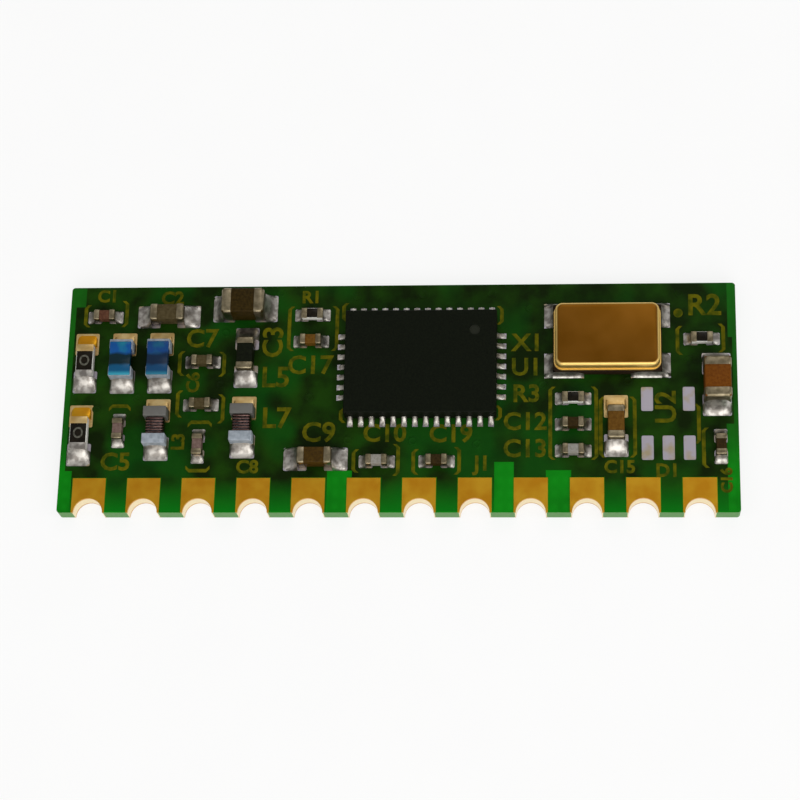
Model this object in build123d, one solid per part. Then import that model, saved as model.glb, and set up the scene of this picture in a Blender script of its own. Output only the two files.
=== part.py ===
from build123d import *
import os

# A radio module: a small green circuit board with twelve half-round plated contacts
# along its front edge, and on its upper face a leadless radio chip, a crystal in a
# metal can and twenty-six small resistors, capacitors and inductors.
# All sizes are millimetres. X runs along the board, Y runs from the contact edge to
# the back edge, Z points out of the component face. The origin is at the middle of
# the board's underside.

# The row of edge contacts sets the board's length.
contact_pitch = 2.54
contact_count = 12
first_contact_margin = 1.45
last_contact_margin = 1.81
contact_hole_radius = 0.68
contact_plating = 0.04
contact_pad_rim = 0.09
contact_pad_reach = 1.64

# The bare board.
board_depth = 11.1
board_thickness = 0.8
board_corner_radius = 0.15
copper_thickness = 0.035

# The radio chip: a moulded leadless package, with contacts under all four edges.
chip_contact_pitch = 0.5
chip_contacts_long_side = 14
chip_contacts_short_side = 7
chip_long_side_margin = 0.25
chip_short_side_margin = 1.0
chip_height = 0.9
chip_edge_break = 0.04
chip_contact_width = 0.26
chip_contact_length = 0.4
chip_contact_height = 0.2
chip_paddle_inset = 0.85
chip_land_toe = 0.42
chip_land_heel = 0.05
chip_dimple_radius = 0.22
chip_dimple_depth = 0.03
chip_dimple_inset = 1.0
chip_solder_height = 0.26

# The crystal: a ceramic base, a drawn metal can, and a quartz plate on two supports.
crystal_length = 5.0
crystal_depth = 3.3
crystal_base_height = 0.4
crystal_can_rim = 0.1
crystal_can_height = 0.62
crystal_can_wall = 0.08
crystal_can_corner = 0.42
crystal_can_shoulder = 0.26
crystal_plate_length = 3.2
crystal_plate_depth = 1.7
crystal_plate_thickness = 0.1
crystal_support_side = 0.4
crystal_support_height = 0.12
crystal_land_length = 1.83
crystal_land_depth = 1.2
crystal_land_toe_long = 0.4
crystal_land_toe_short = 0.18
crystal_solder_height = 0.3

# Small block parts, 1.0 by 0.5 mm.
small_length = 1.0
small_width = 0.5
small_capacitor_height = 0.5
small_resistor_height = 0.35
small_terminal = 0.26
small_land_toe = 0.33
small_land_side = 0.05

# Middle block parts, 1.6 by 0.8 mm.
middle_length = 1.6
middle_width = 0.8
middle_capacitor_height = 0.8
middle_resistor_height = 0.45
middle_terminal = 0.34
middle_land_toe = 0.68
middle_land_side = 0.15

# Large block parts, 2.0 by 1.25 mm.
large_length = 2.0
large_width = 1.25
large_capacitor_height = 1.25
large_terminal = 0.46
large_land_toe = 0.52
large_land_side = 0.03

# Skins that the block parts share.
terminal_skin = 0.03
land_heel = 0.06
glaze_bulge = 0.012

# Wound inductors: a ceramic core with two flanges, a coil round its waist.
wound_length = 1.8
wound_width = 1.08
wound_core_height = 0.88
wound_flange = 0.48
wound_waist_inset = 0.22
wound_wire = 0.12
wound_wire_play = 0.02
wound_foot_height = 0.3
wound_coat = 0.12
wound_coat_dip = 0.09
wound_land_toe = 0.6
wound_land_side = 0.03

# Solder at the ends of the block parts.
solder_rise_share = 0.62
solder_film = 0.03
solder_hollow_share = 0.36
solder_slope_share = 0.9

# The empty five-lead footprint, which fills the room between the contact pads and the
# crystal's lands but for a gap at each end.
spare_pitch = 0.95
spare_land_width = 0.54
spare_land_share = 0.33
spare_front_gap = 0.83
spare_back_gap = 0.45

# Places are hundredths of the board's length from its left end, and of its depth from
# the contact edge, so that the layout spreads with the board. Each block part has its
# kind, whether it lies along or across the board, and its place.
chip_place_share = (53.5, 63.1)
crystal_place_share = (81.0, 74.3)
spare_place_share = 89.8

part_place_shares = {
    "capacitor_01": ("small_capacitor", "along", 5.5, 86.1),
    "capacitor_02": ("middle_capacitor", "along", 15.2, 86.2),
    "capacitor_03": ("large_capacitor", "along", 26.8, 89.6),
    "capacitor_04": ("small_capacitor", "along", 36.9, 74.6),
    "capacitor_05": ("small_capacitor", "along", 20.7, 65.6),
    "capacitor_06": ("small_capacitor", "along", 20.7, 46.6),
    "capacitor_07": ("small_capacitor", "across", 8.55, 35.4),
    "capacitor_08": ("small_capacitor", "across", 20.6, 28.5),
    "capacitor_09": ("middle_capacitor", "along", 38.15, 22.8),
    "capacitor_10": ("small_capacitor", "along", 47.2, 21.7),
    "capacitor_11": ("small_capacitor", "along", 56.0, 21.7),
    "capacitor_12": ("small_capacitor", "along", 75.95, 37.6),
    "capacitor_13": ("small_capacitor", "along", 75.95, 26.1),
    "capacitor_14": ("middle_capacitor", "across", 82.2, 36.9),
    "capacitor_15": ("large_capacitor", "across", 96.95, 54.8),
    "capacitor_16": ("small_capacitor", "across", 97.35, 27.9),
    "bead_01": ("middle_capacitor", "across", 27.25, 67.6),
    "resistor_01": ("small_resistor", "along", 37.0, 86.5),
    "resistor_02": ("small_resistor", "along", 94.9, 74.8),
    "resistor_03": ("small_resistor", "along", 75.95, 48.8),
    "jumper_01": ("middle_resistor", "across", 2.95, 65.5),
    "jumper_02": ("middle_resistor", "across", 2.76, 33.4),
    "inductor_01": ("wound_coated", "across", 8.65, 65.4),
    "inductor_02": ("wound_coated", "across", 14.3, 65.5),
    "inductor_03": ("wound_open", "across", 14.3, 35.8),
    "inductor_04": ("wound_open", "across", 27.2, 36.8),
}

# Values that follow from the ones above.
board_length = first_contact_margin + (contact_count - 1) * contact_pitch + last_contact_margin
board_left = -board_length / 2
board_front = -board_depth / 2
board_top = board_thickness
land_top = board_top + copper_thickness
contact_xs = [board_left + first_contact_margin + i * contact_pitch for i in range(contact_count)]
contact_hole_cut = contact_hole_radius + contact_plating
contact_pad_width = 2 * (contact_hole_radius + contact_pad_rim)
chip_length = (chip_contacts_long_side - 1) * chip_contact_pitch + 2 * chip_long_side_margin
chip_depth = (chip_contacts_short_side - 1) * chip_contact_pitch + 2 * chip_short_side_margin
crystal_can_length = crystal_length - 2 * crystal_can_rim
crystal_can_depth = crystal_depth - 2 * crystal_can_rim


def place(share_x, share_y):
    """A point of the board's face, from its hundredths of length and depth."""
    return board_left + board_length * share_x / 100, board_front + board_depth * share_y / 100


def block(length, width, low, high, x=0, y=0):
    """A box centred on x, y that reaches from low to high."""
    return Pos(x, y, (low + high) / 2) * Box(length, width, high - low)


def joined(solids):
    """Several touching solids made one."""
    whole = solids[0]
    for solid in solids[1:]:
        whole += solid
    return whole


def turned(shape, direction, share_x, share_y):
    """A shape made along X at the origin, laid along or across the board at its place."""
    x, y = place(share_x, share_y)
    return Pos(x, y, 0) * Rot(0, 0, 0 if direction == "along" else 90) * shape


# The board and its edge contacts.
def pad_outline(x):
    """The contact pad's box in plan, from the board's edge inwards."""
    return Pos(x, board_front + contact_pad_reach / 2) * Rectangle(contact_pad_width, contact_pad_reach)


def circuit_board():
    outline = RectangleRounded(board_length, board_depth, board_corner_radius)
    board = extrude(outline, board_thickness)
    for x in contact_xs:
        board -= Pos(x, board_front, board_thickness / 2) * Cylinder(contact_hole_cut, 2 * board_thickness)
        board -= extrude(pad_outline(x), copper_thickness)
    return board


def edge_contact(x):
    """Two pads joined by the plating of the half-round hole between them."""
    hole = Pos(x, board_front, 0) * Cylinder(contact_hole_radius, 4 * board_thickness)
    sleeve = Pos(x, board_front, land_top / 2) * Cylinder(contact_hole_cut, land_top)
    pad_middle = board_front + contact_pad_reach / 2
    behind_edge = block(2 * contact_pad_width, contact_pad_reach, 0, land_top, x, pad_middle)
    lower_pad = extrude(pad_outline(x), copper_thickness)
    upper_pad = Pos(0, 0, board_top) * extrude(pad_outline(x), copper_thickness)
    return (sleeve & behind_edge) + lower_pad + upper_pad - hole


# Lands and the solder on them.
def end_lands(size):
    """The pair of lands under a part's two ends."""
    inner = size["length"] / 2 - size["terminal"] - land_heel
    outer = size["length"] / 2 + size["toe"]
    width = size["width"] + 2 * size["side"]
    return [
        block(outer - inner, width, board_top, land_top, side * (outer + inner) / 2)
        for side in (-1, 1)
    ]


def solder_wedge(reach, width, rise):
    """Solder that climbs a face at X 0 from a land that reaches along +X."""
    low = (0, 0)
    toe = (reach, 0)
    film = (reach, solder_film)
    crown = (0, rise)
    bend = (reach * solder_hollow_share, solder_film + (rise - solder_film) * solder_hollow_share)
    outline = Line(low, toe) + Line(toe, film) + ThreePointArc(film, bend, crown) + Line(crown, low)
    return extrude(make_face(Plane.XZ * outline), width / 2, both=True)


def end_solder(size):
    """The pair of solder fillets at a part's two ends."""
    wedge = solder_wedge(size["toe"], size["width"] + 2 * size["side"], size["solder_rise"])
    near = Pos(size["length"] / 2, 0, land_top) * wedge
    return [near, Rot(0, 0, 180) * near]


# Ceramic capacitors and beads: a block with a metal cap over each end.
def capacitor_body(size):
    return block(
        size["length"] - 2 * terminal_skin,
        size["width"] - 2 * terminal_skin,
        land_top + terminal_skin,
        land_top + size["height"] - terminal_skin,
    )


def capacitor_terminals(size):
    middle = size["length"] / 2 - size["terminal"] / 2
    caps = []
    for side in (-1, 1):
        cap = block(size["terminal"], size["width"], land_top, land_top + size["height"], side * middle)
        caps.append(cap - capacitor_body(size))
    return caps


# Film resistors and jumpers: a ceramic chip, folded terminals, and a dark glaze between.
def resistor_body(size):
    return block(
        size["length"] - 2 * terminal_skin,
        size["width"],
        land_top + terminal_skin,
        land_top + size["height"] - terminal_skin,
    )


def resistor_terminals(size):
    middle = size["length"] / 2 - size["terminal"] / 2
    ends = []
    for side in (-1, 1):
        end = block(size["terminal"], size["width"], land_top, land_top + size["height"], side * middle)
        ends.append(end - resistor_body(size))
    return ends


def resistor_glaze(size):
    top = land_top + size["height"]
    return block(
        size["length"] - 2 * size["terminal"],
        size["width"] - 2 * terminal_skin,
        top - terminal_skin,
        top + glaze_bulge,
    )


# Wound inductors.
def wound_core():
    foot_top = land_top + wound_foot_height
    top = land_top + wound_core_height
    middle = wound_length / 2 - wound_flange / 2
    waist = block(
        wound_length - wound_flange,
        wound_width - 2 * wound_waist_inset,
        land_top + wound_waist_inset,
        top - wound_waist_inset,
    )
    pieces = [waist]
    for side in (-1, 1):
        pieces.append(block(wound_flange, wound_width, foot_top, top, side * middle))
        pieces.append(
            block(
                wound_flange - 2 * terminal_skin,
                wound_width - 2 * terminal_skin,
                land_top + terminal_skin,
                foot_top,
                side * middle,
            )
        )
    return joined(pieces)


def wound_terminals():
    """Metal cups over the feet of the core's two flanges."""
    middle = wound_length / 2 - wound_flange / 2
    core = wound_core()
    return [
        block(wound_flange, wound_width, land_top, land_top + wound_foot_height, side * middle) - core
        for side in (-1, 1)
    ]


def wound_coil():
    """The wire's turns as one sleeve round the waist, rounded along its long edges."""
    low = land_top + wound_waist_inset
    high = land_top + wound_core_height - wound_waist_inset
    width = wound_width - 2 * wound_waist_inset
    span = wound_length - 2 * wound_flange - 2 * wound_wire_play
    sleeve = block(span, width + 2 * wound_wire, low - wound_wire, high + wound_wire)
    sleeve = fillet(sleeve.edges().filter_by(Axis.X), wound_wire)
    return sleeve - block(wound_length, width, low, high)


def wound_coat_plate():
    """The tinted resin on the core's top, dipped where it lies over the coil."""
    low = land_top + wound_core_height
    high = low + wound_coat
    half = wound_length / 2
    inner = half - wound_flange
    left = Polyline((inner, low), (-half, low), (-half, high), (-inner, high))
    dip = ThreePointArc((-inner, high), (0, high - wound_coat_dip), (inner, high))
    right = Polyline((inner, high), (half, high), (half, low), (inner, low))
    return extrude(make_face(Plane.XZ * (left + dip + right)), wound_width / 2, both=True)


# The sizes of each kind of part.
def small_size(height):
    return {
        "length": small_length,
        "width": small_width,
        "height": height,
        "terminal": small_terminal,
        "toe": small_land_toe,
        "side": small_land_side,
        "solder_rise": height * solder_rise_share,
    }


def middle_size(height):
    return {
        "length": middle_length,
        "width": middle_width,
        "height": height,
        "terminal": middle_terminal,
        "toe": middle_land_toe,
        "side": middle_land_side,
        "solder_rise": height * solder_rise_share,
    }


large_size = {
    "length": large_length,
    "width": large_width,
    "height": large_capacitor_height,
    "terminal": large_terminal,
    "toe": large_land_toe,
    "side": large_land_side,
    "solder_rise": large_capacitor_height * solder_rise_share,
}
wound_size = {
    "length": wound_length,
    "width": wound_width,
    "height": wound_core_height,
    "terminal": wound_flange,
    "toe": wound_land_toe,
    "side": wound_land_side,
    "solder_rise": wound_foot_height,
}
sizes = {
    "small_capacitor": small_size(small_capacitor_height),
    "small_resistor": small_size(small_resistor_height),
    "middle_capacitor": middle_size(middle_capacitor_height),
    "middle_resistor": middle_size(middle_resistor_height),
    "large_capacitor": large_size,
    "wound_coated": wound_size,
    "wound_open": wound_size,
}


# The radio chip.
def chip_rows():
    """Each contact's middle on the package's edge, and the direction out of it."""
    rows = []
    for i in range(chip_contacts_long_side):
        x = (i - (chip_contacts_long_side - 1) / 2) * chip_contact_pitch
        rows.append((x, -chip_depth / 2, -90))
        rows.append((x, chip_depth / 2, 90))
    for i in range(chip_contacts_short_side):
        y = (i - (chip_contacts_short_side - 1) / 2) * chip_contact_pitch
        rows.append((-chip_length / 2, y, 180))
        rows.append((chip_length / 2, y, 0))
    return rows


def at_chip_edges(shape):
    """A shape made at the origin with +X outwards, copied to every contact."""
    x, y = place(*chip_place_share)
    return [Pos(x + dx, y + dy, 0) * Rot(0, 0, angle) * shape for dx, dy, angle in chip_rows()]


def chip_contacts():
    contact = block(
        chip_contact_length,
        chip_contact_width,
        land_top,
        land_top + chip_contact_height,
        -chip_contact_length / 2,
    )
    return at_chip_edges(contact)


def chip_paddle(low, high):
    """The metal plate in the middle of the package's underside."""
    x, y = place(*chip_place_share)
    return block(chip_length - 2 * chip_paddle_inset, chip_depth - 2 * chip_paddle_inset, low, high, x, y)


def chip_body():
    x, y = place(*chip_place_share)
    top = land_top + chip_height
    body = block(chip_length, chip_depth, land_top, top, x, y)
    body = chamfer(body.faces().sort_by(Axis.Z)[-1].edges(), chip_edge_break)
    dimple_x = x + chip_length / 2 - chip_dimple_inset
    dimple_y = y + chip_depth / 2 - chip_dimple_inset
    body -= Pos(dimple_x, dimple_y, top) * Cylinder(chip_dimple_radius, 2 * chip_dimple_depth)
    body -= chip_paddle(land_top, land_top + chip_contact_height)
    for contact in chip_contacts():
        body -= contact
    return body


def chip_lands():
    inner = chip_contact_length + chip_land_heel
    land = block(
        chip_land_toe + inner,
        chip_contact_width,
        board_top,
        land_top,
        (chip_land_toe - inner) / 2,
    )
    return at_chip_edges(land) + [chip_paddle(board_top, land_top)]


def chip_solder():
    wedge = Pos(0, 0, land_top) * solder_wedge(chip_land_toe, chip_contact_width, chip_solder_height)
    return at_chip_edges(wedge)


# The crystal.
def crystal_base():
    x, y = place(*crystal_place_share)
    return block(crystal_length, crystal_depth, land_top, land_top + crystal_base_height, x, y)


def crystal_can():
    """A drawn metal can, open below, with rounded corners and shoulders."""
    x, y = place(*crystal_place_share)
    low = land_top + crystal_base_height
    outer = extrude(
        RectangleRounded(crystal_can_length, crystal_can_depth, crystal_can_corner),
        crystal_can_height,
    )
    outer = fillet(outer.faces().sort_by(Axis.Z)[-1].edges(), crystal_can_shoulder)
    inner = extrude(
        RectangleRounded(
            crystal_can_length - 2 * crystal_can_wall,
            crystal_can_depth - 2 * crystal_can_wall,
            crystal_can_corner - crystal_can_wall,
        ),
        crystal_can_height - crystal_can_wall,
    )
    inner = fillet(inner.faces().sort_by(Axis.Z)[-1].edges(), crystal_can_shoulder - crystal_can_wall)
    return Pos(x, y, low) * (outer - inner)


def crystal_supports():
    """Two spots of conductive cement that carry one end of the quartz plate."""
    x, y = place(*crystal_place_share)
    low = land_top + crystal_base_height
    high = low + crystal_support_height
    dx = (crystal_plate_length - crystal_support_side) / 2
    dy = (crystal_plate_depth - crystal_support_side) / 2
    return [
        block(crystal_support_side, crystal_support_side, low, high, x - dx, y + side * dy)
        for side in (-1, 1)
    ]


def crystal_plate():
    x, y = place(*crystal_place_share)
    low = land_top + crystal_base_height + crystal_support_height
    return block(crystal_plate_length, crystal_plate_depth, low, low + crystal_plate_thickness, x, y)


def crystal_lands():
    x, y = place(*crystal_place_share)
    dx = crystal_length / 2 + crystal_land_toe_long - crystal_land_length / 2
    dy = crystal_depth / 2 + crystal_land_toe_short - crystal_land_depth / 2
    return [
        block(crystal_land_length, crystal_land_depth, board_top, land_top, x + i * dx, y + j * dy)
        for i in (-1, 1)
        for j in (-1, 1)
    ]


def crystal_solder():
    """Solder that stands on each corner land, round the outside of the base."""
    x, y = place(*crystal_place_share)
    slope = min(crystal_land_toe_short, crystal_solder_height) * solder_slope_share
    half_length = crystal_length / 2
    half_depth = crystal_depth / 2
    joints = []
    for land in crystal_lands():
        seat = land.faces().sort_by(Axis.Z)[-1]
        joint = extrude(seat, crystal_solder_height)
        outer_edges = [
            edge
            for edge in joint.faces().sort_by(Axis.Z)[-1].edges()
            if abs(edge.center().X - x) > half_length or abs(edge.center().Y - y) > half_depth
        ]
        joints.append(chamfer(outer_edges, slope) - crystal_base())
    return joints


def spare_lands():
    """Five bare lands of a small part that this board goes without."""
    crystal_y = place(*crystal_place_share)[1]
    front = board_front + contact_pad_reach + spare_front_gap
    back = crystal_y - crystal_depth / 2 - crystal_land_toe_short - spare_back_gap
    length = (back - front) * spare_land_share
    x = place(spare_place_share, 0)[0]
    front_row = [(column, front + length / 2) for column in (-1, 0, 1)]
    back_row = [(column, back - length / 2) for column in (-1, 1)]
    return [
        block(spare_land_width, length, board_top, land_top, x + column * spare_pitch, y)
        for column, y in front_row + back_row
    ]


def build_nodes():
    """Every named piece of the module, with its solid or its group of solids."""
    nodes = {"circuit_board": [circuit_board()]}
    for i, x in enumerate(contact_xs):
        nodes[f"edge_contact_{i + 1:02d}"] = [edge_contact(x)]
    groups = {
        "component_lands": [],
        "component_solder": [],
        "capacitor_terminals": [],
        "resistor_terminals": [],
        "resistor_glaze": [],
        "inductor_terminals": [],
        "inductor_coils": [],
        "inductor_coats": [],
    }
    for name, (kind, direction, share_x, share_y) in part_place_shares.items():
        size = sizes[kind]
        made = {
            "component_lands": end_lands(size),
            "component_solder": end_solder(size),
        }
        if kind.endswith("capacitor"):
            body = capacitor_body(size)
            made["capacitor_terminals"] = capacitor_terminals(size)
        elif kind.endswith("resistor"):
            body = resistor_body(size)
            made["resistor_terminals"] = resistor_terminals(size)
            made["resistor_glaze"] = [resistor_glaze(size)]
        else:
            body = wound_core()
            made["inductor_terminals"] = wound_terminals()
            made["inductor_coils"] = [wound_coil()]
            if kind == "wound_coated":
                made["inductor_coats"] = [wound_coat_plate()]
        nodes[name] = [turned(body, direction, share_x, share_y)]
        for group, solids in made.items():
            groups[group] += [turned(solid, direction, share_x, share_y) for solid in solids]
    nodes.update(groups)
    nodes["chip_body"] = [chip_body()]
    nodes["chip_contacts"] = chip_contacts()
    nodes["chip_paddle"] = [chip_paddle(land_top, land_top + chip_contact_height)]
    nodes["chip_lands"] = chip_lands()
    nodes["chip_solder"] = chip_solder()
    nodes["crystal_base"] = [crystal_base()]
    nodes["crystal_can"] = [crystal_can()]
    nodes["crystal_supports"] = crystal_supports()
    nodes["crystal_plate"] = [crystal_plate()]
    nodes["crystal_lands"] = crystal_lands()
    nodes["crystal_solder"] = crystal_solder()
    nodes["spare_lands"] = spare_lands()
    return nodes


os.makedirs("parts", exist_ok=True)
for node_name, shapes in build_nodes().items():
    export_step(Compound([shape.solid() for shape in shapes]), f"parts/{node_name}.step")
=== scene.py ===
# %% [markdown]
# # A radio module, dressed in Blender
#
# The object is a circuit board no longer than a finger joint, with twelve half-round
# plated contacts along one edge and some thirty tiny parts soldered on its face. The
# engineering model already fixes every size and place, so this lesson only gives it its
# looks. Where a solid of that model has the right shape it stays and gets a material.
# Where the real thing is rounder, such as solder, wire and dipped ceramic, a new mesh
# takes its place.

# %% Load the frame
import math
import random

import bmesh
import bpy
from mathutils import Matrix, Vector


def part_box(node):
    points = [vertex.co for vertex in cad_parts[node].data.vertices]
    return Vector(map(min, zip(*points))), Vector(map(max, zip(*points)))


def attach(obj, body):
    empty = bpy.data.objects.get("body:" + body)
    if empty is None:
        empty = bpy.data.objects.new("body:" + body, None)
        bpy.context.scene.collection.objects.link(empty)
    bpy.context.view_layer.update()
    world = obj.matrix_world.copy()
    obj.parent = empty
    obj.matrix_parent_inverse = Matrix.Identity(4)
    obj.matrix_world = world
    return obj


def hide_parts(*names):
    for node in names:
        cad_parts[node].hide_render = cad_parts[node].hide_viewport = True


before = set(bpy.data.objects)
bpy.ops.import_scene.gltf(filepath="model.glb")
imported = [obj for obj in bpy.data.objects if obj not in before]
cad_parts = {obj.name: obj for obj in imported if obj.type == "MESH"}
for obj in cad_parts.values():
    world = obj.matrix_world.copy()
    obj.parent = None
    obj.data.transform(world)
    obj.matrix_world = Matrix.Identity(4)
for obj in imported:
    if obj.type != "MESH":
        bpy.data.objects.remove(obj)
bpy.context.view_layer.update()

print("solids of the frame:", len(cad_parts))

# %% [markdown]
# The whole module is 31 mm long, and Blender's edit tools round their sums at about a
# thousandth of a millimetre when they work in metres. So each piece is modelled with one
# unit to the millimetre and shrunk to metres in one step when it is finished. The helpers
# here are the ones that every piece uses: one reads a solid's box, one starts a primitive,
# and one picks vertices, edges or faces in edit mode by where they are.

# %% Helpers for modelling
MM = 0.001  # a millimetre in metres
HAIR, NEAR = 0.001, 0.01  # how close counts as the same place, in millimetres
MERGE = 0.0005  # points closer than this become one


def clear_selection():
    bpy.ops.object.select_all(action="DESELECT")


def box_mm(node):
    """A frame solid's lowest and highest corner in millimetres."""
    low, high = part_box(node)
    return low / MM, high / MM


def select_whole():
    bpy.ops.mesh.select_all(action="SELECT")


def start(add, **options):
    """A primitive with its size, turn and place in its mesh, left in edit mode."""
    clear_selection()
    add(**options)
    bpy.ops.object.transform_apply(location=True, rotation=True, scale=True)
    bpy.ops.object.mode_set(mode="EDIT")
    select_whole()


def add_block(low, high):
    """A cube from its lowest corner to its highest, left in edit mode."""
    low, high = Vector(low), Vector(high)
    start(bpy.ops.mesh.primitive_cube_add, size=1, location=(low + high) / 2, scale=high - low)


def pick(kind, test):
    """Selects in edit mode: a vertex by its place, an edge by its middle and run, a face
    by its middle and normal."""
    bpy.ops.mesh.select_mode(type=kind)
    bpy.ops.mesh.select_all(action="DESELECT")
    mesh = bmesh.from_edit_mesh(bpy.context.object.data)
    if kind == "VERT":
        facts = [(point, (point.co,)) for point in mesh.verts]
    elif kind == "EDGE":
        ends = [(edge, edge.verts[0].co, edge.verts[1].co) for edge in mesh.edges]
        facts = [(edge, ((a + b) / 2, b - a)) for edge, a, b in ends]
    else:
        facts = [(face, (face.calc_center_median(), face.normal)) for face in mesh.faces]
    for item, values in facts:
        if test(*values):
            item.select_set(True)
    mesh.select_flush_mode()
    bmesh.update_edit_mesh(bpy.context.object.data)


def pull_out(move):
    """Extrudes the selected faces and moves them."""
    bpy.ops.mesh.extrude_region_move(TRANSFORM_OT_translate={"value": move})


def round_edges(radius, segments, test=None):
    """Rounds the edges that pass a test, or all of them."""
    if test:
        pick("EDGE", test)
    else:
        select_whole()
    bpy.ops.mesh.bevel(offset=radius, segments=segments, affect="EDGES")


def is_along(run, axis):
    return abs(run[axis]) > 0.9 * run.length


def is_upright(m, r):
    return is_along(r, 2)


print("one unit is a millimetre while a piece is modelled")

# %% [markdown]
# Most of what is on the board repeats: thirty-four end caps in three sizes, over ninety
# solder joints. Each is modelled once, lying along X with its middle at the origin. Then
# it is copied to every place with a mesh of its own, and the copies that belong to one
# group of solids are joined. The last helper shrinks a finished piece to metres, hangs it
# on the board's body and hides the solids it stands in for.

# %% Helpers for copies and for finished pieces
def leave_edit(smooth_below=None):
    """Back to object mode, with faces that meet at less than an angle shaded smooth."""
    bpy.ops.object.mode_set(mode="OBJECT")
    piece = bpy.context.object
    clear_selection()
    piece.select_set(True)
    if smooth_below is not None:
        bpy.ops.object.shade_smooth_by_angle(angle=math.radians(smooth_below))
    return piece


def leave_closed(smooth_below):
    """Turns all the faces of a closed shape outwards before it leaves edit mode."""
    select_whole()
    bpy.ops.mesh.normals_make_consistent(inside=False)
    return leave_edit(smooth_below)


def wear(piece, material):
    piece.data.materials.clear()
    piece.data.materials.append(material)
    return piece


def shift(piece, x, y, z=0, turn=0, size=(1, 1, 1)):
    """Sizes a mesh, turns it by degrees about Z and moves it."""
    place, turned = Matrix.Translation((x, y, z)), Matrix.Rotation(math.radians(turn), 4, "Z")
    piece.data.transform(place @ turned @ Matrix.Diagonal((*size, 1)))
    return piece


def copy_to(master, *place, **options):
    """A copy with its own mesh, sized, turned and moved."""
    twin = master.copy()
    twin.data = master.data.copy()
    bpy.context.collection.objects.link(twin)
    return shift(twin, *place, **options)


def join(pieces):
    clear_selection()
    for piece in pieces:
        piece.select_set(True)
    bpy.context.view_layer.objects.active = pieces[0]
    if len(pieces) > 1:
        bpy.ops.object.join()
    return bpy.context.object


def discard(*masters):
    for master in masters:
        bpy.data.objects.remove(master)


def settle(piece, name, slot, *nodes):
    """Millimetres to metres; the piece then rides on the board in place of the nodes."""
    piece.data.transform(Matrix.Scale(MM, 4))
    piece.name = name
    piece.data.name = name
    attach(piece, "root")
    if nodes:
        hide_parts(*nodes)
    print(name, "has", len(piece.data.polygons), "faces")
    return piece


# %% [markdown]
# Each material below starts from what the real thing is and how it was made. Colours are
# written as the hex values that a colour picker shows, and one function turns them to the
# linear numbers that the renderer works in. One small function adds a node with its
# settings, its values and its links, so a material reads as a list of what feeds what.
# Many of the finishes here are the same idea, a colour in two tones over a fine grain, so
# one more function writes that whole material down.

# %% Helpers for materials
def linear(code):
    """An sRGB hex colour as linear red, green, blue and alpha."""
    values = [int(code[i:i + 2], 16) / 255 for i in (1, 3, 5)]
    return [v / 12.92 if v <= 0.04045 else ((v + 0.055) / 1.055) ** 2.4 for v in values] + [1.0]


def add_node(material, kind, inputs, **settings):
    """A node with its settings; each input takes a hex colour, a number or another's output."""
    node = material.node_tree.nodes.new("ShaderNode" + kind)
    for name, value in settings.items():
        setattr(node, name, value)
    for key, value in inputs.items():
        if isinstance(value, bpy.types.NodeSocket):
            material.node_tree.links.new(value, node.inputs[key])
        else:
            node.inputs[key].default_value = linear(value) if isinstance(value, str) else value
    return node


def new_material(name):
    """An empty material and its object coordinates."""
    material = bpy.data.materials.new(name)
    material.use_nodes = True
    material.node_tree.nodes.clear()
    return material, add_node(material, "TexCoord", {}).outputs["Object"]


def per_metre(millimetres):
    """A texture's scale for a feature of a size: how many of them fit in a metre."""
    return 1 / (millimetres * MM)


def two_tones(material, places, size, dark, light, low=0.35, high=0.65, detail=2):
    """Two colours in soft spots of a size; low and high say where one gives way."""
    spots = {"Vector": places, "Scale": per_metre(size), "Detail": detail}
    noise = add_node(material, "TexNoise", spots)
    ramp = add_node(material, "ValToRGB", {"Fac": noise.outputs["Fac"]})
    for stop, at, colour in zip(ramp.color_ramp.elements, (low, high), (dark, light)):
        stop.position, stop.color = at, linear(colour)
    return ramp.outputs["Color"]


def fine_grain(material, places, size, depth):
    """The normal of a surface with bumps of a size and a depth."""
    grains = {"Vector": places, "Scale": per_metre(size), "Detail": 2}
    noise = add_node(material, "TexNoise", grains)
    heights = {"Height": noise.outputs["Fac"], "Distance": depth * MM}
    return add_node(material, "Bump", heights).outputs["Normal"]


def blend(material, source, span, below, above, shares=(0.0, 1.0)):
    """One colour that goes over to another while a source passes a span in millimetres."""
    ends = {"Value": source, 1: span[0] * MM, 2: span[1] * MM, 3: shares[0], 4: shares[1]}
    share = add_node(material, "MapRange", ends).outputs[0]
    return add_node(material, "Mix", {0: share, 6: below, 7: above}, data_type="RGBA").outputs[2]


def close_material(material, inputs):
    """The surface and its way out, with what feeds it."""
    surface = add_node(material, "BsdfPrincipled", inputs)
    add_node(material, "OutputMaterial", {"Surface": surface.outputs["BSDF"]})
    return material


def two_tone_material(name, tones, grain, **surface):
    """Two tones (size, dark, light, ...) over a grain (size, depth), all in millimetres."""
    material, places = new_material(name)
    inputs = {key.replace("_", " "): value for key, value in surface.items()}
    inputs["Base Color"] = two_tones(material, places, *tones)
    inputs["Normal"] = fine_grain(material, places, *grain)
    return close_material(material, inputs)


print("a feature of 0.5 mm needs a texture scale of", per_metre(0.5))

# %% [markdown]
# The photograph looks down on the board from the contact side, a little from the right.
# Its lens was long: the board's far edge is hardly shorter than the near one. The camera
# here has the same place, lean and field of view. Its three axes are written as the
# columns of its matrix, right, up and backwards, which leaves no doubt about its roll.

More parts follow.
